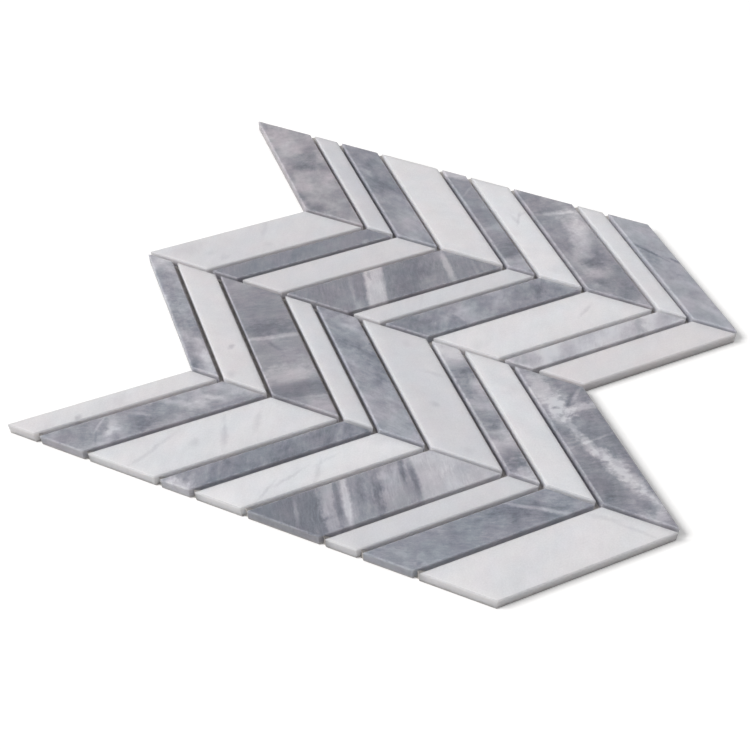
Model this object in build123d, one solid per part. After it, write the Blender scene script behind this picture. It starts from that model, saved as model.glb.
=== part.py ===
from build123d import *
import math
import os

# Marble chevron mosaic sheet, millimetres, +Z up. The sheet lies face up. The origin is at the middle of its
# footprint, on the floor. +X runs along the columns, +Y across them.

# Stone chips, measured square to their slanted sides
CHIP_WIDTHS = {"wide": 29.5, "medium": 19.5, "narrow": 12.5}
CHIP_JOINT = 2.5  # open joint between neighbours in a column, square to the slanted sides
SLANT = 45.0  # degrees between a chip's slanted sides and its column
STONE_THICKNESS = 7.4
CORNER_RADIUS = 0.3  # barely blunted upright corners
ARRIS = 0.6  # eased top edge

# Columns
COLUMN_PITCH = 76.2
COLUMN_JOINT = 2.0  # open joint between columns
REPEATS = 3  # each column repeats its three widths this many times

# The columns from the back of the sheet to the front: letter, widths from -X to +X, first stone, lean
COLUMNS = (
    ("a", ("wide", "narrow", "medium"), "grey", "back"),
    ("b", ("wide", "narrow", "medium"), "white", "forward"),
    ("c", ("narrow", "medium", "wide"), "grey", "back"),
    ("d", ("narrow", "medium", "wide"), "white", "forward"),
)

# Glass-fibre net glued under the chips: flat yarns in two crossing layers
YARN_PITCH = 5.0
YARN_WIDTH = 0.9
YARN_THICKNESS = 0.2
NET_INSET = 1.5  # from the stone's outline to the ends of the yarns
SHORTEST_YARN = 4.0

# Worked out from the sizes above
COLUMN_SHIFT = COLUMN_PITCH / math.tan(math.radians(SLANT))
CHIP_HEIGHT = COLUMN_PITCH - COLUMN_JOINT
JOINT_ALONG = CHIP_JOINT / math.sin(math.radians(SLANT))
PERIOD = sum((width + CHIP_JOINT) / math.sin(math.radians(SLANT)) for width in CHIP_WIDTHS.values())
COLUMN_LENGTH = REPEATS * PERIOD
SHEET_WIDTH = len(COLUMNS) * COLUMN_PITCH
NET_THICKNESS = 2 * YARN_THICKNESS
X_START = -(COLUMN_LENGTH + COLUMN_SHIFT) / 2
Y_START = -SHEET_WIDTH / 2


def pitch_along(size):
    """Length of column that one chip and its joint take up."""
    return (CHIP_WIDTHS[size] + CHIP_JOINT) / math.sin(math.radians(SLANT))


def chip(x_low, y_low, size, lean):
    """One chip: a parallelogram prism with an eased top edge and barely blunted upright corners.

    x_low is where its column's share begins on the column's unshifted border.
    """
    length = pitch_along(size) - JOINT_ALONG
    rise = CHIP_HEIGHT
    slip = rise / math.tan(math.radians(SLANT))
    bottom = COLUMN_JOINT / 2 / math.tan(math.radians(SLANT))
    if lean == "forward":
        foot, head = bottom, bottom + slip
    else:
        foot, head = bottom + slip, bottom
    start = x_low + JOINT_ALONG / 2
    corners = (
        (start + foot, y_low),
        (start + foot + length, y_low),
        (start + head + length, y_low + rise),
        (start + head, y_low + rise),
    )
    solid = extrude(Polygon(*corners, align=None), STONE_THICKNESS)
    solid = chamfer(solid.faces().sort_by(Axis.Z)[-1].edges(), ARRIS)
    solid = fillet(solid.edges().filter_by(Axis.Z), CORNER_RADIUS)
    return Pos(0, 0, NET_THICKNESS) * solid


def column_chips(row, sizes, first_stone, lean):
    """The chips of one column, as (number, stone, size, solid), from -X to +X. Row 0 is at the back."""
    stones = ("grey", "white") if first_stone == "grey" else ("white", "grey")
    y_low = -Y_START - (row + 1) * COLUMN_PITCH + COLUMN_JOINT / 2
    x_low = X_START
    for number in range(REPEATS * len(sizes)):
        size = sizes[number % len(sizes)]
        yield number + 1, stones[number % 2], size, chip(x_low, y_low, size, lean)
        x_low += pitch_along(size)


def end_shift(y):
    """How far the zigzag ends stand towards +X at this Y: 0 at the front edge, middle and back edge."""
    place = ((y - Y_START) % (2 * COLUMN_PITCH)) / COLUMN_PITCH
    return COLUMN_SHIFT * (place if place < 1 else 2 - place)


def yarn(x_low, x_high, y_low, y_high, z_low):
    return Pos(x_low, y_low, z_low) * Box(
        x_high - x_low, y_high - y_low, YARN_THICKNESS, align=(Align.MIN, Align.MIN, Align.MIN)
    )


def centred_places(length):
    """Yarn centrelines, evenly spaced about the middle of a length centred on 0."""
    count = int((length / 2 - NET_INSET - YARN_WIDTH / 2) // YARN_PITCH)
    return [step * YARN_PITCH for step in range(-count, count + 1)]


def long_yarns():
    """The lower layer: yarns along X, one for each place across the sheet, cut to the zigzag ends."""
    half = YARN_WIDTH / 2
    for y in centred_places(SHEET_WIDTH):
        shifts = [end_shift(y - half), end_shift(y + half)]
        x_low = X_START + max(shifts) + NET_INSET + JOINT_ALONG / 2
        x_high = X_START + COLUMN_LENGTH + min(shifts) - NET_INSET - JOINT_ALONG / 2
        yield yarn(x_low, x_high, y - half, y + half, 0)


def cross_spans(x):
    """The stretches of Y where a yarn across the sheet at this X has stone over it."""
    half = YARN_WIDTH / 2
    from_start = x - half - NET_INSET - JOINT_ALONG / 2 - X_START
    past_end = x + half + NET_INSET + JOINT_ALONG / 2 - X_START - COLUMN_LENGTH
    edge = COLUMN_JOINT / 2 + NET_INSET
    reach = math.tan(math.radians(SLANT))
    spans = []
    for notch in range(len(COLUMNS) // 2):
        low = Y_START + 2 * notch * COLUMN_PITCH
        if past_end > 0:
            spans.append((low + past_end * reach, low + 2 * COLUMN_PITCH - past_end * reach))
        elif from_start < COLUMN_SHIFT:
            spans.append((low, low + from_start * reach))
            spans.append((low + 2 * COLUMN_PITCH - from_start * reach, low + 2 * COLUMN_PITCH))
        else:
            spans.append((low, low + 2 * COLUMN_PITCH))
    joined = []
    for low, high in spans:
        if joined and low - joined[-1][1] < SHORTEST_YARN:
            joined[-1] = (joined[-1][0], high)
        else:
            joined.append((low, high))
    return [(max(low, Y_START + edge), min(high, -Y_START - edge)) for low, high in joined]


def cross_yarns():
    """The upper layer: yarns along Y, broken where the sheet's ends are notched."""
    half = YARN_WIDTH / 2
    for x in centred_places(COLUMN_LENGTH + COLUMN_SHIFT):
        for y_low, y_high in cross_spans(x):
            if y_high - y_low >= SHORTEST_YARN:
                yield yarn(x - half, x + half, y_low, y_high, YARN_THICKNESS)


def write(name, shape):
    shape.label = name
    export_step(shape, os.path.join("parts", name + ".step"))


os.makedirs("parts", exist_ok=True)

for row, (letter, sizes, first_stone, lean) in enumerate(COLUMNS):
    for number, stone, size, solid in column_chips(row, sizes, first_stone, lean):
        write(f"chip_{letter}{number}_{stone}_{size}", solid)

write("net_long_yarns", Compound(children=list(long_yarns())))
write("net_cross_yarns", Compound(children=list(cross_yarns())))
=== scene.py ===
import math
from collections import namedtuple

import bmesh
import bpy
from mathutils import Matrix, Vector, noise


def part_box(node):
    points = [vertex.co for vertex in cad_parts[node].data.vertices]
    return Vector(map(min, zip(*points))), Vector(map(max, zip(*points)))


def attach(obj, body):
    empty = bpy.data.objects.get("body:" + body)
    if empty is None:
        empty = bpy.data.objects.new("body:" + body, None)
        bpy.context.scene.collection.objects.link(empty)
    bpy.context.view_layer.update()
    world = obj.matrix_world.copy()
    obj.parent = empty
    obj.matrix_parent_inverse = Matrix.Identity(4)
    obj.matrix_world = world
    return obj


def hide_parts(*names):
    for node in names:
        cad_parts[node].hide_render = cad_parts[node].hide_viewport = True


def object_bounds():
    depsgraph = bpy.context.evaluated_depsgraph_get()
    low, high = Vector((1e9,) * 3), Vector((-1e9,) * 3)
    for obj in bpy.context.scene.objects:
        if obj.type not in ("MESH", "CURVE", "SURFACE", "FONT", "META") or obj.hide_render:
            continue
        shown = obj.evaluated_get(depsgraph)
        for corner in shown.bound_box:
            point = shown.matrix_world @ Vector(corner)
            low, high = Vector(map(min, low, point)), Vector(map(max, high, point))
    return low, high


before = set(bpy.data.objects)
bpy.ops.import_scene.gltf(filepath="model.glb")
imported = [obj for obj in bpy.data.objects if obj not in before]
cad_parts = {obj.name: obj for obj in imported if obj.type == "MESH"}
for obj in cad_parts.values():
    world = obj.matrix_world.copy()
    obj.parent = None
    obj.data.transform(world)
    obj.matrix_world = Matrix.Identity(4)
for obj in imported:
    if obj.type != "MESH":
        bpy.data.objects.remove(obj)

CAD_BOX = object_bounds()
MM = 0.001

# Heights of the sheet, from its nodes
NET_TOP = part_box("net_cross_yarns")[1].z
STONE_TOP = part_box("chip_a1_grey_wide")[1].z

# Sizes of the chips, as the part's source has them
CHIP_WIDTHS = {"wide": 29.5 * MM, "medium": 19.5 * MM, "narrow": 12.5 * MM}
CHIP_JOINT = 2.5 * MM
COLUMN_PITCH = 76.2 * MM
COLUMN_JOINT = 2.0 * MM
ARRIS = 0.6 * MM

# Sizes of the net
YARN_PITCH = 5.0 * MM
YARN_WIDTH = 0.9 * MM
YARN_THICKNESS = 0.2 * MM


# Camera: the photograph looks down on the sheet from its front right
AIM = Vector((0.0107, -0.0247, 0.0))
AZIMUTH = math.radians(21.42)
ELEVATION = math.radians(49.23)
ROLL = math.radians(0.95)
DISTANCE = 0.6454
LENS_MM = 52.47
SHIFT_X = -0.0497  # the photograph is cut from a wider picture


def make_camera():
    data = bpy.data.cameras.new("camera")
    data.lens = LENS_MM
    data.sensor_width = 36.0
    data.shift_x = SHIFT_X
    camera = bpy.data.objects.new("camera", data)
    bpy.context.scene.collection.objects.link(camera)
    back = Vector((
        math.sin(AZIMUTH) * math.cos(ELEVATION),
        -math.cos(AZIMUTH) * math.cos(ELEVATION),
        math.sin(ELEVATION),
    ))
    camera.location = AIM + back * DISTANCE
    turn = (-back).to_track_quat("-Z", "Y").to_matrix() @ Matrix.Rotation(ROLL, 3, "Z")
    camera.rotation_euler = turn.to_euler()
    bpy.context.scene.camera = camera


class Graph:
    """Short ways to add and join the nodes of one material."""

    def __init__(self, name):
        self.material = bpy.data.materials.new(name)
        self.material.use_nodes = True
        self.tree = self.material.node_tree
        self.tree.nodes.clear()

    def add(self, kind, **settings):
        node = self.tree.nodes.new("ShaderNode" + kind)
        for key, value in settings.items():
            setattr(node, key, value)
        return node

    def put(self, socket, value):
        """Joins another node's output to a socket, or sets the socket to a plain value."""
        if isinstance(value, bpy.types.NodeSocket):
            self.tree.links.new(value, socket)
        elif value is not None:
            socket.default_value = value

    def math(self, operation, *values):
        node = self.add("Math", operation=operation)
        for socket, value in zip(node.inputs, values):
            self.put(socket, value)
        return node.outputs[0]

    def vector(self, operation, *values):
        node = self.add("VectorMath", operation=operation)
        for socket, value in zip(node.inputs, values):
            self.put(socket, value)
        return node.outputs["Value" if operation == "LENGTH" else "Vector"]

    def place(self, vector, location=(0, 0, 0), turn=0.0, scale=(1, 1, 1)):
        """Coordinates as seen from a place: moved to it, turned about Z and divided by the scale."""
        node = self.add("Mapping", vector_type="TEXTURE")
        self.put(node.inputs["Vector"], vector)
        node.inputs["Location"].default_value = location
        node.inputs["Rotation"].default_value = (0, 0, turn)
        node.inputs["Scale"].default_value = scale
        return node.outputs[0]

    def noise(self, vector, size, detail=3.0, roughness=0.5, colour=False):
        """Noise whose lumps are about this size."""
        node = self.add("TexNoise")
        self.put(node.inputs["Vector"], vector)
        node.inputs["Scale"].default_value = 1.0 / size
        node.inputs["Detail"].default_value = detail
        node.inputs["Roughness"].default_value = roughness
        return node.outputs["Color" if colour else "Fac"]

    def span(self, value, low, high, to_low=0.0, to_high=1.0):
        """A value's stretch from low to high carried to another stretch, and held there outside it."""
        node = self.add("MapRange", interpolation_type="SMOOTHSTEP")
        self.put(node.inputs["Value"], value)
        node.inputs["From Min"].default_value = low
        node.inputs["From Max"].default_value = high
        node.inputs["To Min"].default_value = to_low
        node.inputs["To Max"].default_value = to_high
        return node.outputs[0]

    def ramp(self, value, stops):
        node = self.add("ValToRGB")
        elements = node.color_ramp.elements
        while len(elements) < len(stops):
            elements.new(0.5)
        for element, (position, colour) in zip(elements, stops):
            element.position = position
            element.color = colour
        self.put(node.inputs["Fac"], value)
        return node.outputs["Color"]

    def mix(self, share, a, b, blend="MIX"):
        node = self.add("Mix", data_type="RGBA", blend_type=blend)
        self.put(node.inputs["Factor"], share)
        self.put(node.inputs["A"], a)
        self.put(node.inputs["B"], b)
        return node.outputs["Result"]

    def bump(self, height, strength, distance):
        node = self.add("Bump")
        node.inputs["Strength"].default_value = strength
        node.inputs["Distance"].default_value = distance
        self.put(node.inputs["Height"], height)
        return node.outputs[0]

    def surface(self, colour, roughness, normal=None, **constants):
        shader = self.add("BsdfPrincipled")
        self.put(shader.inputs["Base Color"], colour)
        self.put(shader.inputs["Roughness"], roughness)
        self.put(shader.inputs["Normal"], normal)
        for name, value in constants.items():
            shader.inputs[name.replace("_", " ")].default_value = value
        out = self.add("OutputMaterial")
        self.put(out.inputs["Surface"], shader.outputs[0])
        return self.material


def linear(level):
    """A display level from 0 to 255 as the linear value that shows as it."""
    value = level / 255
    return value / 12.92 if value <= 0.04045 else ((value + 0.055) / 1.055) ** 2.4


def shade(red, green, blue):
    return (linear(red), linear(green), linear(blue), 1.0)


# Marble tones run on one scale, the display level of the green channel. The stones turn from slate blue
# through lilac grey to a near white.
MARBLE_STOPS = (
    (90 / 255, shade(88, 90, 99)),
    (120 / 255, shade(117, 120, 131)),
    (150 / 255, shade(149, 150, 159)),
    (185 / 255, shade(185, 184, 191)),
    (215 / 255, shade(215, 215, 219)),
    (240 / 255, shade(240, 240, 243)),
)

# One patch or vein: where its middle lies on the chip, in millimetres along and across it from the chip's
# middle, its turn from the chip's length in degrees, its half length and half width, how many levels lighter
# or darker the stone is there, and how sharp its edge is, from 0 to 1
Mark = namedtuple("Mark", "along across turn length width change edge")

# One chip's stone: its level, how much soft clouds, bands and fine streaks change that level, the turn of the
# bands from the chip's length in degrees, how warm the stone is, and its own marks
Stone = namedtuple("Stone", "level cloud band streak turn warmth marks")


def mark(along, across, turn, length, width, change, edge=0.1):
    return Mark(along, across, turn, length, width, change, edge)


def white(level, *marks, turn=60, warmth=0.0):
    return Stone(level, 2.2, 1.2, 0.8, turn, warmth, marks)


def grey(level, cloud, band, streak, turn, *marks, warmth=0.0):
    return Stone(level, cloud, band, streak, turn, warmth, marks)


STONES = {
    "a1": grey(
        156, 13, 3, 2, 70,
        mark(-14.5, 6, -15, 9, 5, -20), mark(-1, 4, 70, 7, 3.5, -12), mark(-8, -5, 50, 8, 3.4, -16),
        mark(3.6, -12.5, 0, 4, 1.6, -22), mark(-27, -2, 0, 9, 7, 8), mark(13, -1, 20, 11, 8, 8),
        mark(41, -5, 45, 9, 4, -22), mark(26, -13, 8, 13, 1.8, -18), mark(37, 11, 0, 8, 3, -5),
        mark(-45, -9, 0, 20, 6, 18), mark(-32, 10, 0, 7, 4, 12), mark(-16, 7, -10, 9, 5, -12),
        mark(15, -7, 0, 12, 4, 6), warmth=0.95,
    ),
    "a2": white(202),
    "a3": grey(
        140, 10, 6, 6, 28,
        mark(-4.5, 3, 28, 14, 2, -14), mark(3, 10, 10, 7, 2, -14), mark(-31, 1, 0, 6, 5, -12),
        mark(-41, -1, 20, 4, 2, 12), mark(30, 0, 0, 22, 14, 8), mark(45, 4, 0, 22, 12, 12),
        mark(-12, -6, 20, 12, 4, -14), mark(-27, -6, 30, 5, 1.5, 10), warmth=-0.2,
    ),
    "a4": white(217, warmth=0.3),
    "a5": grey(
        141, 9, 4, 6, 75,
        mark(-53, -1, 45, 20, 5, 42, 0.6), mark(-31, 0.5, -55, 7, 0.8, 16), mark(0, 1.5, 80, 6, 5, -12),
        mark(9, 0.5, 78, 7, 2.4, 16), mark(33, 2, 90, 7, 8, -14, 0.3), mark(47, -1, 88, 14, 7.5, 18, 0.6),
        mark(36, 1, 80, 8, 3, -14), mark(6, 4, 10, 10, 2.4, 18), mark(-12, 4, 0, 6, 2.4, 12), warmth=-0.05,
    ),
    "a6": white(
        222,
        mark(-11, 2, -34, 6, 0.9, -16), mark(-14, 6, -75, 4, 0.8, -8), mark(-11, -1, 10, 4, 1.2, -12),
        mark(42, 4, 60, 6, 4, -7),
    ),
    "a7": grey(
        148, 15, 4, 3, 75,
        mark(-33, 2, 76, 12, 1.8, 36, 0.2), mark(-27, 11, 0, 6, 3, 6), mark(-7, 6, -10, 16, 9, 32),
        mark(-6, -6, -15, 10, 2.6, -24), mark(12, -7, 10, 11, 5, 20), mark(17, 7, 0, 10, 5, -16),
        mark(27, 0, 70, 8, 4, 24), mark(17, 0, 80, 6, 4, -16), mark(40, -7, 20, 9, 4, 14),
        mark(-17, 6, -8, 16, 8, 18), mark(3, 9, -20, 10, 4, -24), mark(-34, -2, 76, 7, 1.8, 8),
        mark(0, 0, 0, 5, 4, -14), mark(46, 4, -10, 14, 8, -18), mark(15, -5, 80, 5, 2.6, -20),
        mark(34, -5, 60, 6, 3, -14), mark(-48, -9, 0, 14, 6, -10), mark(-11, -11, 10, 8, 3, -14),
        warmth=0.3,
    ),
    "a8": white(215),
    "a9": grey(
        165, 9, 4, 5, 30,
        mark(-18.5, -3, 27, 10.5, 0.9, -34, 0.3), mark(-4.5, 8, 28, 5, 0.8, -30, 0.3),
        mark(-9, 4, 40, 4, 0.8, -12), mark(-15, -6, 15, 9, 3, -10), mark(4, 4, 30, 4, 1.5, 12),
        mark(43, 5, 30, 7, 2, 14), mark(-20, -5, 15, 9, 3.2, -18), mark(12, 6, 10, 6, 3, -14),
        mark(43, 6, 10, 7, 3, 8), mark(5, 0, 0, 5, 3, -9), warmth=-0.4,
    ),
    "b1": white(
        211,
        mark(7, 7, 62, 8, 1.3, -9), mark(-32, -1, 0, 3, 2.2, -9), mark(-25, -9, 0, 3, 2.2, -10),
        mark(5, -7, 0, 2.5, 2, -8), mark(-46, 7, 0, 8, 5, -7), warmth=0.2,
    ),
    "b2": grey(
        136, 7, 2, 5, 70,
        mark(41, -5, 0, 1.8, 1.3, 22), mark(-6, 0, 60, 5, 3, -5),
    ),
    "b3": white(209, warmth=0.3),
    "b4": grey(
        136, 7, 4, 8, 75,
        mark(-14.2, -1.5, 76, 60, 6.3, 54, 0.75), mark(-20.5, 3, 80, 12, 1.6, -12),
        mark(-28, 4, 80, 10, 1.1, 22), mark(-30, -13, 60, 4, 3, 22), mark(-14, 10, 80, 4, 1.0, -30, 0.3),
        mark(16, -11, 0, 7, 4, 8), mark(21, -7, 15, 5, 2.6, 20), mark(35, -2.5, 86, 15, 2.2, 36, 0.5),
        mark(51, -8, 85, 7, 1.1, 16), mark(55, -11, 85, 5, 1, 14), mark(10, 0, 75, 20, 13, -13, 0.3),
        mark(45, 8, -45, 9, 3, 18), warmth=0.4,
    ),
    "b5": white(
        209,
        mark(-16, 0, 60, 6, 1, -5),
    ),
    "b6": grey(
        149, 16, 3, 3, 60,
        mark(-34, 1, 30, 10, 6, -12), mark(-13, 1, 80, 9, 8, 12), mark(11, 3, 0, 8, 6, 12),
        mark(0, 7, 0, 6, 3, -12), mark(-20.5, -3.5, -60, 6, 1.6, -20), mark(-22.5, 0, -60, 4, 0.7, 14),
        mark(42, 0, 0, 9, 7, -10), mark(-42, -1, 0, 7, 7, -16), mark(-24, -4, 70, 6, 2.4, -20),
        mark(32, 1, 0, 6, 9, -16), mark(10, 0, 0, 8, 4, -10), mark(18, -6, 0, 6, 2.5, 10),
        mark(45, 0, 0, 6, 4, -8), warmth=-0.3,
    ),
    "b7": white(
        221,
        mark(28, 0, 32, 6, 1.0, -15), mark(-42, -1, 20, 6, 3, -4), warmth=0.2,
    ),
    "b8": grey(
        189, 9, 4, 4, 58,
        mark(-32, 0, 58, 8, 5, 18, 0.5), mark(7, 0, 58, 8, 8, 14, 0.4), mark(38, 1.5, 58, 7, 5, 14, 0.4),
        mark(-15, 1, 50, 8, 6, -8, 0.3), mark(29, -0.5, 75, 7, 3.2, -28), mark(-45, 1, 58, 6, 5, -10),
        mark(-10, -4, 0, 8, 3, 16), mark(45, -2, 0, 5, 4, -12), mark(2, 4, 0, 5, 2.1, -16),
        mark(-54, 2, 0, 6, 5, -14), mark(12, -4, 0, 6, 2.5, -8), warmth=-0.1,
    ),
    "b9": white(214, warmth=0.6),
    "c1": grey(
        155, 20, 3, 7, 60,
        mark(-34, 4, 0, 14, 3, 26), mark(38, -3.5, 0, 8, 2.4, -12), mark(-49, -2, 0, 7, 5, 22),
        mark(20, -2, 0, 6, 4, 8), mark(45, 3, 0, 14, 4, 24), mark(-8, -3.5, 0, 12, 3, -18),
        mark(-35, -4, 0, 10, 2.4, -12), mark(50, -4, 0, 4, 3, 30), mark(25, 0, 80, 5, 2.2, 12),
        warmth=-0.15,
    ),
    "c2": white(
        214,
        mark(20.5, 1, -60, 2.2, 1.5, -24, 0.2), mark(41, -5, 0, 2.5, 2, -10), warmth=0.4,
    ),
    "c3": grey(
        145, 5, 4, 7, 76,
        mark(-12, 0, 76.5, 18, 6, -20, 0.4), mark(-4.6, 0, 76.5, 18, 1.6, 32, 0.4),
        mark(-2, 0, 76.5, 18, 4, 6), mark(3, -2, 25, 6, 1.2, -16), mark(14, 0, 76, 16, 6, 8),
        mark(27, 0, 76, 16, 6, 24, 0.3), mark(41, 2, 78, 40, 6.0, -18, 0.6), mark(48, 6, 75, 9, 0.8, 14),
        mark(56, 9, 45, 9, 6, 26), mark(-53, -4, 80, 9, 3, 14, 0.2), mark(-30, 0, 76, 18, 14, -5),
        mark(27, 2, 76, 16, 5, 14, 0.3), mark(20, 10, 0, 4, 3, 14), warmth=0.48,
    ),
    "c4": white(209),
    "c5": grey(
        150, 12, 7, 7, 35,
        mark(-7, 7, 20, 15, 4, -18), mark(-23, -1, 30, 12, 2.2, -14), mark(-39.5, 0.5, 60, 6, 1.3, 14),
        mark(-7, -4.5, 25, 7, 1.2, 16), mark(11, 5, 30, 8, 1.1, 10), mark(33, 0, 0, 18, 12, 9),
        mark(24, 3, 60, 6, 1.2, 8), mark(-19.5, 9.5, 0, 1.1, 1, -30, 0.4), mark(-36, 6, 0, 8, 3, 18),
        mark(-18, 6, 0, 5, 2.4, 18), mark(-46, 0, 60, 6, 2.2, 26), mark(4, 5, 0, 6, 3, -14),
        mark(48, 4, 0, 7, 4, 12), mark(-26, -6, 20, 7, 2.4, -12), mark(-5, -6, 0, 4, 2.1, 12), warmth=-0.55,
    ),
    "c6": white(
        209,
        mark(-10, 8.5, 45, 5, 1.3, -12), mark(11, -0.5, 30, 3, 1.6, -14), mark(-39, 2, 0, 3, 2, -6),
        mark(48, 3, 60, 4, 2, -6),
    ),
    "c7": grey(
        162, 12, 4, 7, 65,
        mark(-49, -1, 45, 12, 9, 30, 0.3), mark(-28, 1, 80, 8, 6, -30, 0.2), mark(-15, -1, 0, 5, 3, -8),
        mark(-5, 1, 0, 8, 5, 6), mark(10, 0, 60, 4, 2.6, -22), mark(15.5, 0, 80, 4.5, 2, -34),
        mark(26, 0, 80, 8, 6.5, 24, 0.3), mark(36, 1, 85, 7, 3, -22, 0.3),
        mark(43.5, 1, 85, 7, 2.6, -26, 0.3), mark(54, 2, 45, 8, 5, 26, 0.3), mark(-15, 4, 0, 7, 2.6, 22),
        mark(0, 4, 0, 4, 2.2, 16), mark(16, 4, 0, 4, 2.2, 18), mark(-29, 2, 80, 6, 2.4, -14),
        mark(-48, -1, 45, 10, 5, 14), mark(-11, -4, 0, 4, 2.2, -20), mark(20, -3, 60, 5, 3, -16),
        mark(42, 1, 80, 6, 3.4, -16), mark(31, -2, 80, 5, 2.5, -10),
    ),
    "c8": white(
        220,
        mark(-32, 1, 30, 9, 5, -6), mark(4, -2, 20, 12, 3, -3),
    ),
    "c9": grey(
        138, 12, 4, 9, 76,
        mark(-43, -8, 8, 17, 6.5, 58, 0.3), mark(-29, -4, 20, 8, 4, 34, 0.2),
        mark(-24.5, 6, 85, 11, 2.6, 46, 0.3), mark(-14, -5, 0, 9, 2.8, 48, 0.2),
        mark(0, -4, 10, 8, 2.4, 50, 0.2), mark(10, 1, 40, 6, 3.6, 46, 0.2),
        mark(19.5, 4.5, 10, 8, 5, 56, 0.3), mark(31.5, 7.5, 25, 9, 3.8, 50, 0.2),
        mark(44, 11.5, 15, 8, 2.6, 38, 0.2), mark(57, 8, 60, 7, 4, 40, 0.2), mark(-1.4, 1, 90, 15, 0.7, 24),
        mark(-30, 1, -50, 7, 1.6, -42), mark(-34, 8, -50, 6, 1, 30), mark(47, 7, 20, 6, 3, -30),
        mark(-22, -10, 0, 7, 3, 42, 0.2), mark(49, 9, 20, 6, 4, 38), mark(37, 5, 20, 6, 3, 28),
        mark(11, 5.5, 0, 6, 2.4, -26), mark(25, 5, 60, 3, 2.1, -32), mark(25, -9, 0, 20, 5, -14),
        mark(-15, 0, 0, 3, 2.1, 20), mark(-33, 3, 0, 5, 3, 16), mark(-5, -6, 0, 4, 2.1, -20),
        mark(16, 0, 0, 4, 2.1, 14),
    ),
    "d1": white(
        218,
        mark(-21.5, -5, 60, 2.4, 1.6, -26, 0.2), mark(4, 0, 40, 5, 3, -8), warmth=0.35,
    ),
    "d2": grey(
        153, 14, 4, 6, -25,
        mark(-29, 5, 50, 7, 0.7, 24, 0.2), mark(-34, -5, 75, 5, 0.6, -14), mark(-22.5, 2.5, 75, 6, 3.2, 42),
        mark(-28, -6, 40, 6, 3, 32), mark(-9, 0.5, 80, 9, 7, -20, 0.3), mark(-6, 3, -30, 9, 1.1, 22),
        mark(1.5, 7, 0, 4, 2.8, -22), mark(13, 5, -30, 7, 1.8, 26), mark(23, -1.5, -8, 15, 2.4, 16),
        mark(35.5, -0.5, -35, 6, 1.6, 26), mark(36, -3.5, -5, 7, 1.6, -14), mark(38, 2, -10, 14, 7, 24),
        mark(-46, 3, 0, 11, 5, -9), mark(-30, -6, 0, 4, 2.4, -20), mark(-18, -3, 70, 6, 2.4, 14),
        mark(-7, -3, 0, 6, 4, -9), mark(15, -1, 0, 5, 2.4, -12), mark(-15, 6, 0, 2.5, 2.1, 16),
        mark(56, -4, -20, 5, 3, 22), warmth=-0.15,
    ),
    "d3": white(
        220,
        mark(-35, 3, 23, 15, 1.1, -12), mark(-11, 0, 30, 2.5, 2, -12), mark(5, -3, 70, 6, 1.5, -20),
        mark(8, 8, 75, 5, 1, -7), mark(26, 1, 60, 7, 1.8, -12),
    ),
    "d4": grey(
        135, 14, 5, 6, 65,
        mark(-51.5, 0, -47, 12, 3.4, 46, 0.4), mark(-42, 1, 62, 7, 1.4, 18), mark(-34, 1, 62, 7, 1.1, 14),
        mark(-27, 0, 62, 7, 1, 12), mark(3, 0, 70, 8, 4, -8), mark(14, 0, 62, 7, 1.2, 12),
        mark(41, -1, 55, 6, 1.6, 26), mark(-48, 4, 0, 5, 2.4, 26), mark(-40, 0, 62, 6, 2.4, 16),
        mark(-18, 4, 0, 5, 2.4, 18), mark(20, 3, 0, 8, 3, -14), mark(-25, -3, 0, 5, 2.4, 12),
        mark(10, -4, 0, 8, 2.2, 9), warmth=-0.5,
    ),
    "d5": white(
        225,
        mark(-27, -4.5, 35, 7, 0.8, -13), mark(-13, -0.5, 17, 9, 0.8, -13), mark(3, -2.5, 60, 6, 1.3, -14),
        mark(10, 3, 10, 7, 0.8, -8), mark(41, 4, 0, 4, 3, -6),
    ),
    "d6": grey(
        152, 4, 3, 9, 80,
        mark(-69, 0, 83, 300, 38, -28, 0.95), mark(-43, 5, 80, 8, 1, 26),
        mark(-25.4, 0, 80, 16, 3.8, 23, 0.5), mark(-21, 2, 80, 14, 1.5, -26, 0.3),
        mark(-16.5, 0, 80, 18, 2, 46, 0.5), mark(-28, -6.5, 0, 3, 1.2, -22), mark(-7, 5, 80, 9, 2.4, -22),
        mark(-4, -4, 80, 9, 1, -14), mark(0.5, -1, 82, 15, 2.4, -32, 0.3), mark(9, -3, 70, 11, 4.6, 16),
        mark(8, 8, 75, 6, 3, 12), mark(18.5, 8, 78, 8, 1.6, -34, 0.3),
        mark(22.2, -1, 82, 11, 1.7, -38, 0.3), mark(69, 0, 80, 300, 45, 34, 0.93),
        mark(48, -4, 0, 4, 3, -10), mark(-24, -5, 80, 8, 3, -16), mark(5, 9, 0, 4, 3, 22),
        mark(20, 10, 0, 5, 2.4, 18), mark(44, 0, 80, 16, 5, 12), mark(-15, -8, 80, 5, 2, 18),
        mark(14, 8, 60, 5, 2.2, 12), mark(33, 10, 0, 8, 3, 10), warmth=-0.1,
    ),
    "d7": white(211),
    "d8": grey(
        145, 10, 6, 10, -22,
        mark(23, 6, -36, 7, 1.0, 30, 0.3), mark(37, -3, -32, 13, 1.2, 38, 0.3),
        mark(12, 5, -25, 8, 1.6, -18), mark(15, 2, -20, 6, 1, 10), mark(-37.5, -6.7, 0, 1.3, 1.1, -24),
        mark(-37.5, -6.7, 0, 2.8, 2.4, 8), mark(-46, 4, -40, 5, 1.4, 12), mark(-30, 0, 0, 18, 9, 8),
        mark(-40, 2, 60, 8, 2.4, 10), mark(18, 4, 0, 12, 4, -18), mark(30, 0, 0, 6, 3, -12),
        mark(42, 5, 0, 6, 3, 18), mark(47, 0, -30, 5, 2.2, 20), mark(38, -6, 0, 5, 2.4, -16),
        mark(55, 0, 0, 4, 2.4, -14), mark(54, -6, 0, 4, 2.2, 14), warmth=-0.8,
    ),
    "d9": white(
        221,
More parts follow.
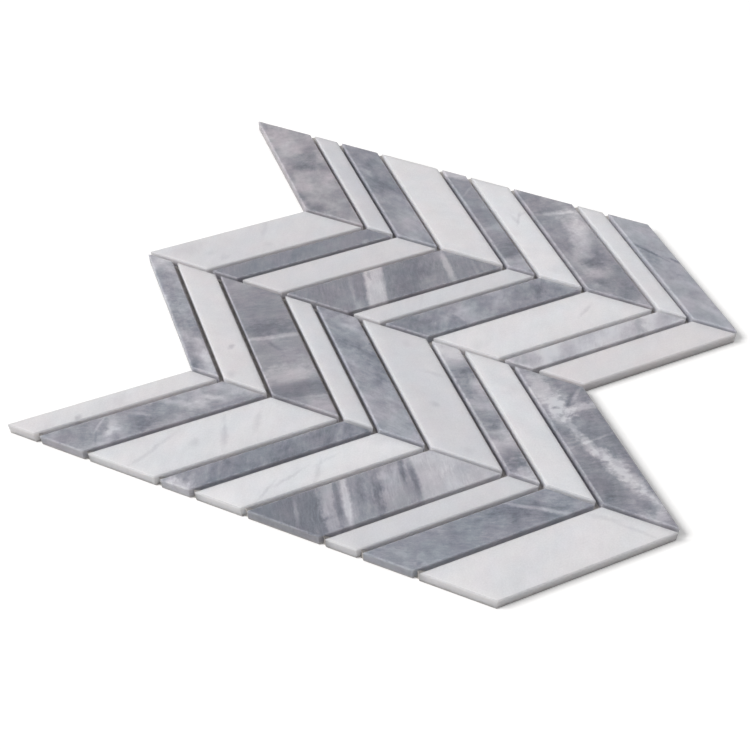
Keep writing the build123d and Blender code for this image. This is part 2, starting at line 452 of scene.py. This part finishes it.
        mark(35.5, 8, -35, 7, 1.3, -11), mark(47, -5, -50, 10, 0.9, -10), mark(-20, -6, 20, 14, 4, -3),
        warmth=0.2,
    ),
}

# How the marble is made up
CRYSTAL = 0.9  # size of the stone's crystals, in millimetres
THIN = 2.0  # marks up to this half width are veins, and their edges stay finer
CRISP = 0.5  # marks with an edge this sharp keep a clean outline
FIELD = 10.0  # crisp marks wider than this are whole parts of a chip
FRAYED_PATCH = 2.2  # how far the edges of the kinds of marks fray
FRAYED_VEIN = 1.2
FRAYED_CRISP = 0.35
FRAYED_FIELD = 0.25
PALE_LEVEL = 198  # stones above this level are the white ones
LIGHTEST_VEIN = 206.0  # where the light marks of a grey stone overlap, they stay below this level
SAWN_LEVEL = 205  # level of freshly sawn stone
HUE_SHARE = 0.8  # how strongly the stone's hue wanders
SPREAD = 8.0  # a noise node's values stray about an eighth from their middle, so this makes them stray by one
COLUMN_TURN = {"a": -45, "b": 45, "c": -45, "d": 45}  # degrees from +X to the length of a column's chips

# Dried glue
# The dried glue's colour; at the foot of the chips' sides it is also painted shade
GLUE_STAIN_AND_SHADE = shade(176, 170, 165)
GLUE_STEP = 1.5 * MM
OUTER_INSET = 1.1 * MM  # from the sheet's straight edges to the glue's ends
DAM_LENGTH = 6.0 * MM  # the glue stands higher over this length at the joints' outer ends
DAM_HEIGHT = 5.5 * MM


def tone_of(graph, local, stone, seed):
    """The chip's level at each point: its clouds, bands, streaks, crystals and marks."""
    drifted = graph.vector("ADD", local, (seed * 37.0, seed * 19.0, seed * 53.0))

    def shaken(size, by, detail=2.0):
        """A colour noise as a vector that strays by this many millimetres."""
        lumps = graph.noise(drifted, size, detail=detail, roughness=0.6, colour=True)
        return graph.vector("MULTIPLY", graph.vector("SUBTRACT", lumps, (0.5, 0.5, 0.5)), (by * SPREAD,) * 3)

    wander = shaken(18.0, 0.35)
    thin_place = graph.vector("ADD", graph.vector("ADD", local, wander), shaken(2.4, 0.3, detail=5.0))
    broad_place = graph.vector("ADD", thin_place, shaken(6.0, 0.9, detail=6.0))
    grained = graph.vector("ADD", drifted, thin_place)
    grained = graph.vector("SUBTRACT", grained, local)
    turn = math.radians(stone.turn)
    banded = graph.place(grained, turn=turn, scale=(3.6, 1.0, 2.0))
    bands = graph.noise(banded, 4.5, detail=6.0, roughness=0.6)
    streaked = graph.place(grained, turn=turn, scale=(7.0, 1.0, 3.0))
    streaks = graph.noise(streaked, 1.1, detail=4.0, roughness=0.6)
    streaky = graph.span(graph.noise(drifted, 9.0, detail=2.0), 0.3, 0.7, 0.3, 1.7)
    curdled = graph.place(drifted, turn=turn, scale=(1.8, 1.0, 1.0))
    feather = graph.math("SUBTRACT", graph.noise(curdled, 2.6, detail=6.0, roughness=0.65), 0.5)

    layers = (
        (graph.math("SUBTRACT", graph.noise(drifted, 12.0, detail=9.0, roughness=0.62), 0.5), stone.cloud),
        (graph.math("SUBTRACT", bands, 0.5), stone.band),
        (graph.math("MULTIPLY", graph.math("SUBTRACT", streaks, 0.5), streaky), stone.streak * 0.5),
        (feather, stone.streak * 0.4),
        (graph.math("SUBTRACT", graph.noise(local, CRYSTAL, detail=3.0), 0.5), 2.2),
    )
    tone = stone.level
    for value, amount in layers:
        tone = graph.math("MULTIPLY_ADD", value, amount * SPREAD, tone)
    for m in stone.marks:
        if m.edge >= CRISP:
            shaken_place = thin_place
            frayed = FRAYED_FIELD if m.width > FIELD else FRAYED_CRISP
        elif m.width > THIN:
            shaken_place = broad_place
            frayed = FRAYED_PATCH
        else:
            shaken_place = thin_place
            frayed = FRAYED_VEIN
        size = (m.length, m.width, 1000.0)
        seen = graph.place(shaken_place, (m.along, m.across, 0), math.radians(m.turn), size)
        distance = graph.math("MULTIPLY_ADD", feather, frayed, graph.vector("LENGTH", seen))
        soft = 0.95 * (1 - m.edge)
        tone = graph.math("ADD", tone, graph.span(distance, 1 - soft, 1 + soft, m.change, 0.0))
    if stone.level < PALE_LEVEL:
        tone = graph.math("SMOOTH_MIN", tone, LIGHTEST_VEIN, 12.0)
    return tone


def marble(name, stone, centre, turn, seed):
    """Honed marble on top; an arris of bruised stone, lightened by a painted highlight on grey stones and
    dulled by painted shade on white ones; sawn sides, darkened at the foot partly by a glue stain and partly
    by painted shade; and a sawn back with dried glue.
    """
    graph = Graph(name)
    place = graph.add("TexCoord").outputs["Object"]
    local = graph.place(place, centre, math.radians(turn), (MM, MM, MM))
    tone = tone_of(graph, local, stone, seed)

    height = graph.add("SeparateXYZ")
    graph.put(height.inputs[0], place)
    z = height.outputs["Z"]
    on_top = graph.span(z, STONE_TOP - 0.08 * MM, STONE_TOP - 0.02 * MM)
    above_side = graph.span(z, STONE_TOP - ARRIS - 0.1 * MM, STONE_TOP - ARRIS)
    on_arris = graph.math("SUBTRACT", above_side, on_top)
    on_side = graph.math("SUBTRACT", 1.0, above_side)

    # The sawn sides are paler than a honed grey face and duller than a white one. The arris is pulled towards
    # the same sawn level: partly bruised stone, partly a painted highlight that lightens it on grey stones
    # and painted shade that dulls it on white ones.
    saw = graph.noise(graph.place(local, scale=(30.0, 30.0, 1.0)), 0.5, detail=2.0)
    sawn_level = graph.math("MULTIPLY_ADD", saw, 12.0, SAWN_LEVEL - 6.0)
    gap = graph.math("SUBTRACT", sawn_level, tone)
    sawn_share, least, most = (0.36, 0.0, 0.3) if stone.level < PALE_LEVEL else (0.2, 0.7, 1.3)
    arris_bruise_and_painted_light = graph.span(graph.noise(local, 3.0, detail=3.0), 0.35, 0.65, least, most)
    share = graph.math("MULTIPLY_ADD", on_arris, arris_bruise_and_painted_light, graph.math("MULTIPLY", on_side, sawn_share))
    tone = graph.math("MULTIPLY_ADD", gap, share, tone)
    colour = graph.ramp(graph.math("DIVIDE", tone, 255.0), MARBLE_STOPS)

    # The stone leans towards a cool or a warm grey, and patches of it towards a lilac or a sea blue
    patches = graph.span(graph.noise(local, 20.0, detail=2.0), 0.35, 0.65, -0.12, 0.12)
    warm = graph.math("ADD", patches, 0.5 + 0.5 * stone.warmth)
    lean = graph.mix(warm, (0.955, 1.0, 1.02, 1.0), (1.05, 1.0, 0.975, 1.0))
    colour = graph.mix(1.0, colour, lean, blend="MULTIPLY")
    hue_place = graph.vector("ADD", local, (seed * 11.0, seed * 29.0, 0.0))
    hue = graph.span(graph.noise(hue_place, 13.0, detail=3.0), 0.4, 0.6)
    tint = graph.mix(hue, (0.985, 1.008, 1.004, 1.0), (1.022, 0.99, 1.008, 1.0))
    hue_share = graph.span(tone, 165.0, 195.0, HUE_SHARE, HUE_SHARE / 3)
    colour = graph.mix(hue_share, colour, tint, blend="MULTIPLY")

    # The foot of the sides is darkened towards the glue's colour, partly a glue stain and partly painted
    # shade; dried glue smears the back
    smear = graph.noise(local, 3.2, detail=4.0)
    uneven_z = graph.math("MULTIPLY_ADD", smear, -4.0 * MM, z)
    foot_stain_and_shade = graph.span(uneven_z, NET_TOP - 1.9 * MM, NET_TOP + 0.7 * MM, 0.45, 0.0)
    on_back = graph.span(z, NET_TOP + 0.01 * MM, NET_TOP + 0.03 * MM, 1.0, 0.0)
    puddles = graph.span(graph.noise(local, 7.0, detail=4.0), 0.42, 0.56, 0.1, 0.75)
    back_glue = graph.math("MULTIPLY", on_back, puddles)
    colour = graph.mix(graph.math("MAXIMUM", foot_stain_and_shade, back_glue), colour, GLUE_STAIN_AND_SHADE)

    fine = graph.noise(local, 0.5, detail=3.0)
    roughness = graph.math("MULTIPLY_ADD", fine, 0.12, 0.36)
    roughness = graph.math("MULTIPLY_ADD", graph.math("SUBTRACT", 1.0, on_top), 0.28, roughness)
    rough_height = graph.math("MULTIPLY", fine, graph.math("SUBTRACT", 1.12, on_top))
    normal = graph.bump(rough_height, 0.25, 0.1 * MM)
    depth = 11.0 * MM if stone.level > PALE_LEVEL else 6.0 * MM
    return graph.surface(colour, roughness, normal, IOR=1.5, Subsurface_Weight=1.0, Subsurface_Scale=depth,
                         Subsurface_Radius=(1.0, 0.97, 0.92))


def dried_glue(name):
    """Brown-grey glue that has set half clear, with dust on it."""
    graph = Graph(name)
    place = graph.add("TexCoord").outputs["Object"]
    local = graph.place(place, scale=(MM, MM, MM))
    blotches = graph.noise(local, 4.0, detail=5.0, roughness=0.6)
    specks = graph.noise(local, 0.4, detail=3.0)
    level = graph.math("MULTIPLY_ADD", specks, 0.35, graph.math("MULTIPLY", blotches, 0.65))
    colour = graph.ramp(level, (
        (0.35, shade(165, 160, 157)),
        (0.5, shade(190, 186, 183)),
        (0.65, shade(214, 211, 207)),
    ))
    roughness = graph.span(blotches, 0.4, 0.6, 0.3, 0.65)
    return graph.surface(colour, roughness, graph.bump(level, 0.6, 0.15 * MM), IOR=1.48)


def glass_fibre(name, along_x):
    """Coated glass yarn: fine filaments along the yarn, and smears of the chips' glue."""
    graph = Graph(name)
    place = graph.add("TexCoord").outputs["Object"]
    local = graph.place(place, scale=(MM, MM, MM))
    drawn_out = (60.0, 1.0, 1.0) if along_x else (1.0, 60.0, 1.0)
    filaments = graph.noise(graph.place(local, scale=drawn_out), 0.09, detail=2.0)
    smear = graph.span(graph.noise(local, 7.0, detail=4.0), 0.45, 0.6)
    colour = graph.ramp(filaments, (
        (0.3, shade(196, 196, 190)),
        (0.5, shade(222, 222, 217)),
        (0.7, shade(238, 238, 234)),
    ))
    colour = graph.mix(graph.math("MULTIPLY", smear, 0.6), colour, GLUE_STAIN_AND_SHADE)
    roughness = graph.math("MULTIPLY_ADD", smear, -0.2, 0.55)
    return graph.surface(colour, roughness, graph.bump(filaments, 0.6, 0.05 * MM), IOR=1.5)


def dress_chips():
    seed = 0
    for name in sorted(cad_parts):
        if not name.startswith("chip_"):
            continue
        seed += 1
        code = name.split("_")[1]
        low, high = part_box(name)
        middle = (low + high) / 2
        material = marble("marble_" + code, STONES[code], middle, COLUMN_TURN[code[0]], seed)
        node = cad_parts[name]
        node.data.materials.clear()
        node.data.materials.append(material)


def yarn_runs(name, along, across):
    """Where each yarn of one of the net's layers runs: its place across the layer, its start and its end."""
    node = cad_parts[name]
    rows = {}
    for vertex in node.data.vertices:
        point = node.matrix_world @ vertex.co
        rows.setdefault(round(point[across] / YARN_PITCH), []).append(point[along])
    for row, places in sorted(rows.items()):
        places.sort()
        ends = places[:1] + [two for one, two in zip(places, places[1:]) if two - one > 0.1 * MM]
        for start, end in zip(ends[::2], ends[1::2]):
            yield row * YARN_PITCH, start, end


def add_strand(mesh, rings):
    """Adds a closed strand through rings of points."""
    loops = [[mesh.verts.new(point) for point in ring] for ring in rings]
    for one, two in zip(loops, loops[1:]):
        for i in range(len(one)):
            j = (i + 1) % len(one)
            mesh.faces.new((one[i], one[j], two[j], two[i]))
    mesh.faces.new(reversed(loops[0]))
    mesh.faces.new(loops[-1])


def stations(start, end):
    """Places along a yarn: its ends, and every half pitch between them, with the half pitch's number."""
    half = YARN_PITCH / 2
    first = math.floor(start / half) + 1
    last = math.ceil(end / half) - 1
    yield start, first - 1
    for number in range(first, last + 1):
        if start + 0.2 * MM < number * half < end - 0.2 * MM:
            yield number * half, number
    yield end, last + 1


def twisted_yarns(mesh):
    """The lower layer: each yarn is a pair of strands that change sides between one crossing and the next."""
    wide = 0.22 * MM
    thick = 0.055 * MM
    for y, start, end in yarn_runs("net_long_yarns", 0, 1):
        for side in (-1, 1):
            rings = []
            for x, number in stations(start, end):
                over = side * 0.215 * MM * (1, 0, -1, 0)[number % 4]
                up = YARN_THICKNESS / 2 + side * 0.04 * MM * (0, 1, 0, -1)[number % 4]
                spread = wide * (1.0, 0.72, 1.0, 0.72)[number % 4]
                spread *= 1 + 0.15 * noise.noise(Vector((x / (6 * MM), y / MM, side * 3.7)))
                rings.append([
                    (x, y + over - spread, up), (x, y + over, up - thick),
                    (x, y + over + spread, up), (x, y + over, up + thick),
                ])
            add_strand(mesh, rings)


def flat_yarns(mesh):
    """The upper layer: flat yarns, pinched a little where the strands below cross them."""
    middle = 1.5 * YARN_THICKNESS
    thick = 0.085 * MM
    for x, start, end in yarn_runs("net_cross_yarns", 1, 0):
        rings = []
        for y, number in stations(start, end):
            half = YARN_WIDTH / 2 * (0.86 if number % 2 == 0 else 1.0)
            half *= 1 - 0.08 * abs(noise.noise(Vector((x / MM, y / (9 * MM), 1.3))))
            flat = 0.55 * half
            rings.append([
                (x + half, y, middle), (x + flat, y, middle - thick), (x - flat, y, middle - thick),
                (x - half, y, middle), (x - flat, y, middle + thick), (x + flat, y, middle + thick),
            ])
        add_strand(mesh, rings)


def make_net():
    """The woven net, in place of the plain flat yarns."""
    for name, node, weave, along_x in (
        ("twisted_long_yarns", "net_long_yarns", twisted_yarns, True),
        ("flat_cross_yarns", "net_cross_yarns", flat_yarns, False),
    ):
        mesh = bmesh.new()
        weave(mesh)
        bmesh.ops.recalc_face_normals(mesh, faces=mesh.faces)
        data = bpy.data.meshes.new(name)
        mesh.to_mesh(data)
        mesh.free()
        data.shade_smooth()
        piece = bpy.data.objects.new(name, data)
        bpy.context.scene.collection.objects.link(piece)
        piece.data.materials.append(glass_fibre(name, along_x))
        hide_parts(node)
        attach(piece, "root")


def glue_section(half_gap, left, right, middle, climb):
    """The glue's section, as places across the joint and up: under both chips, and hollow between them."""
    wall = half_gap + 0.04 * MM
    inner = 0.55 * half_gap
    lip = 0.34 * (climb - middle)
    return (
        (-half_gap - left, 0.14 * MM), (-half_gap - 0.6 * left, 0.35 * MM),
        (-wall, 0.38 * MM), (-wall, climb), (-inner, middle + lip), (0.0, middle), (inner, middle + lip),
        (wall, climb), (wall, 0.38 * MM), (half_gap + 0.6 * right, 0.35 * MM), (half_gap + right, 0.14 * MM),
        (half_gap + 0.5 * right, 0.07 * MM), (0.0, 0.06 * MM), (-half_gap - 0.5 * left, 0.07 * MM),
    )


def glue_run(mesh, start, end, half_gap, outer, seed):
    """Adds one run of glue film along a joint from start to end.

    At an outer end, "start" or "end", the glue is raised into a dam that fills the joint's end.
    """
    course = end - start
    along = course.normalized()
    across = Vector((-along.y, along.x, 0.0))
    steps = max(2, round(course.length / GLUE_STEP))
    rings = []
    for step in range(steps + 1):
        reached = course.length * step / steps

        def stray(size, which):
            return noise.noise(Vector((reached / (size * MM), seed * 7.3, which * 11.7)))

        ends = min(1.0, 0.1 + 0.5 * min(step, steps - step))
        from_outer = {"start": reached, "end": course.length - reached}.get(outer, course.length)
        dam = max(0.0, 1.0 - from_outer / DAM_LENGTH) * (DAM_HEIGHT + 0.8 * MM * stray(3.0, 5))
        left = (2.0 + 1.7 * stray(7.0, 1)) * MM * ends
        right = (2.0 + 1.7 * stray(7.0, 2)) * MM * ends
        middle = (0.85 + 0.35 * stray(5.0, 3)) * MM + dam
        climb = middle + (0.7 + 0.4 * stray(4.0, 4)) * MM * ends
        centre = start + along * reached
        rings.append([
            mesh.verts.new(centre + across * over + Vector((0.0, 0.0, up)))
            for over, up in glue_section(half_gap, left, right, middle, climb)
        ])
    for one, two in zip(rings, rings[1:]):
        for i in range(len(one)):
            j = (i + 1) % len(one)
            mesh.faces.new((one[j], one[i], two[i], two[j]))
    mesh.faces.new(rings[0])
    mesh.faces.new(reversed(rings[-1]))


def glue_courses():
    """The joints with glue: start, end, half the joint's width, and which end is on the sheet's edge."""
    columns = {}
    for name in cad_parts:
        if name.startswith("chip_"):
            code, _, size = name.split("_")[1:]
            low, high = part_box(name)
            columns.setdefault(code[0], []).append(((low + high) / 2, CHIP_WIDTHS[size]))
    half_height = (COLUMN_PITCH - COLUMN_JOINT) / 2
    for letter, chips in columns.items():
        lean = -1 if COLUMN_TURN[letter] < 0 else 1
        chips.sort(key=lambda chip: chip[0].x)
        front = half_height + (-OUTER_INSET if letter == "d" else COLUMN_JOINT / 2)
        back = half_height + (-OUTER_INSET if letter == "a" else COLUMN_JOINT / 2)
        outer = {"a": "end", "d": "start"}.get(letter)
        for middle, width in chips[:-1]:
            centre = Vector((middle.x + (width + CHIP_JOINT) / 2 * math.sqrt(2), middle.y, 0.0))
            slant = Vector((lean, 1.0, 0.0))
            yield centre - slant * front, centre + slant * back, CHIP_JOINT / 2, outer
    low, high = CAD_BOX
    for place in (-1, 0, 1):
        shift = COLUMN_PITCH * abs(place)
        y = place * COLUMN_PITCH
        start = Vector((low.x + shift + 3.0 * MM, y, 0.0))
        end = Vector((high.x - COLUMN_PITCH + shift - 3.0 * MM, y, 0.0))
        yield start, end, COLUMN_JOINT / 2, None


def make_glue():
    """The glue that holds the chips on the net: along every joint, and a little under the chips."""
    mesh = bmesh.new()
    for seed, (start, end, half_gap, outer) in enumerate(glue_courses()):
        glue_run(mesh, start, end, half_gap, outer, seed)
    data = bpy.data.meshes.new("dried_glue")
    mesh.to_mesh(data)
    mesh.free()
    data.shade_smooth()
    data.set_sharp_from_angle(angle=math.radians(50))
    glue = bpy.data.objects.new("dried_glue", data)
    bpy.context.scene.collection.objects.link(glue)
    glue.data.materials.append(dried_glue("dried_glue"))
    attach(glue, "root")


def make_floor():
    bpy.ops.mesh.primitive_plane_add(size=3.2, location=(0, 0, -0.0001))
    floor = bpy.context.object
    floor.name = "floor"
    graph = Graph("floor")
    seen = graph.add("LightPath")
    direct = graph.math("MAXIMUM", seen.outputs["Is Camera Ray"], seen.outputs["Is Glossy Ray"])
    direct = graph.math("MAXIMUM", direct, seen.outputs["Is Transmission Ray"])
    colour = graph.mix(direct, (0.42, 0.41, 0.4, 1.0), (0.985, 0.98, 0.975, 1.0))
    diffuse = graph.add("BsdfDiffuse")
    graph.put(diffuse.inputs["Color"], colour)
    lift = graph.add("Emission")
    lift.inputs["Color"].default_value = (1.0, 1.0, 1.0, 1.0)
    graph.put(lift.inputs["Strength"], graph.math("MULTIPLY", direct, 0.1))
    both = graph.add("AddShader")
    graph.put(both.inputs[0], diffuse.outputs[0])
    graph.put(both.inputs[1], lift.outputs[0])
    out = graph.add("OutputMaterial")
    graph.put(out.inputs["Surface"], both.outputs[0])
    floor.data.materials.append(graph.material)


def make_world():
    world = bpy.data.worlds.new("studio")
    bpy.context.scene.world = world
    world.use_nodes = True
    tree = world.node_tree
    tree.nodes.clear()
    seen = tree.nodes.new("ShaderNodeLightPath")
    direct = seen.outputs["Is Camera Ray"]
    for kind in ("Is Glossy Ray", "Is Transmission Ray"):
        either = tree.nodes.new("ShaderNodeMath")
        either.operation = "MAXIMUM"
        tree.links.new(direct, either.inputs[0])
        tree.links.new(seen.outputs[kind], either.inputs[1])
        direct = either.outputs[0]
    strength = tree.nodes.new("ShaderNodeMapRange")
    strength.inputs["To Min"].default_value = 0.256
    strength.inputs["To Max"].default_value = 1.0
    tree.links.new(direct, strength.inputs["Value"])
    background = tree.nodes.new("ShaderNodeBackground")
    background.inputs["Color"].default_value = (1.0, 1.0, 1.0, 1.0)
    tree.links.new(strength.outputs[0], background.inputs["Strength"])
    out = tree.nodes.new("ShaderNodeOutputWorld")
    tree.links.new(background.outputs[0], out.inputs["Surface"])


def softbox(name, location, size, watts, colour):
    data = bpy.data.lights.new(name, "AREA")
    data.shape = "RECTANGLE"
    data.size = size[0]
    data.size_y = size[1]
    data.energy = watts
    data.color = colour
    lamp = bpy.data.objects.new(name, data)
    bpy.context.scene.collection.objects.link(lamp)
    lamp.location = location
    lamp.rotation_euler = (-Vector(location)).to_track_quat("-Z", "Y").to_euler()


def make_lamps():
    softbox("key", (-6.2, -3.9, 7.6), (4.2, 4.2), 968.0, (1.0, 0.995, 0.985))
    softbox("front", (0.3, -2.4, 3.0), (2.0, 1.2), 6.0, (1.0, 1.0, 1.0))
    softbox("right", (1.6, 0.0, 2.8), (1.2, 1.2), 12.0, (0.97, 0.98, 1.0))


make_camera()
make_world()
make_lamps()
make_floor()
dress_chips()
make_net()
make_glue()

view = bpy.context.scene.view_settings
view.view_transform = "Standard"
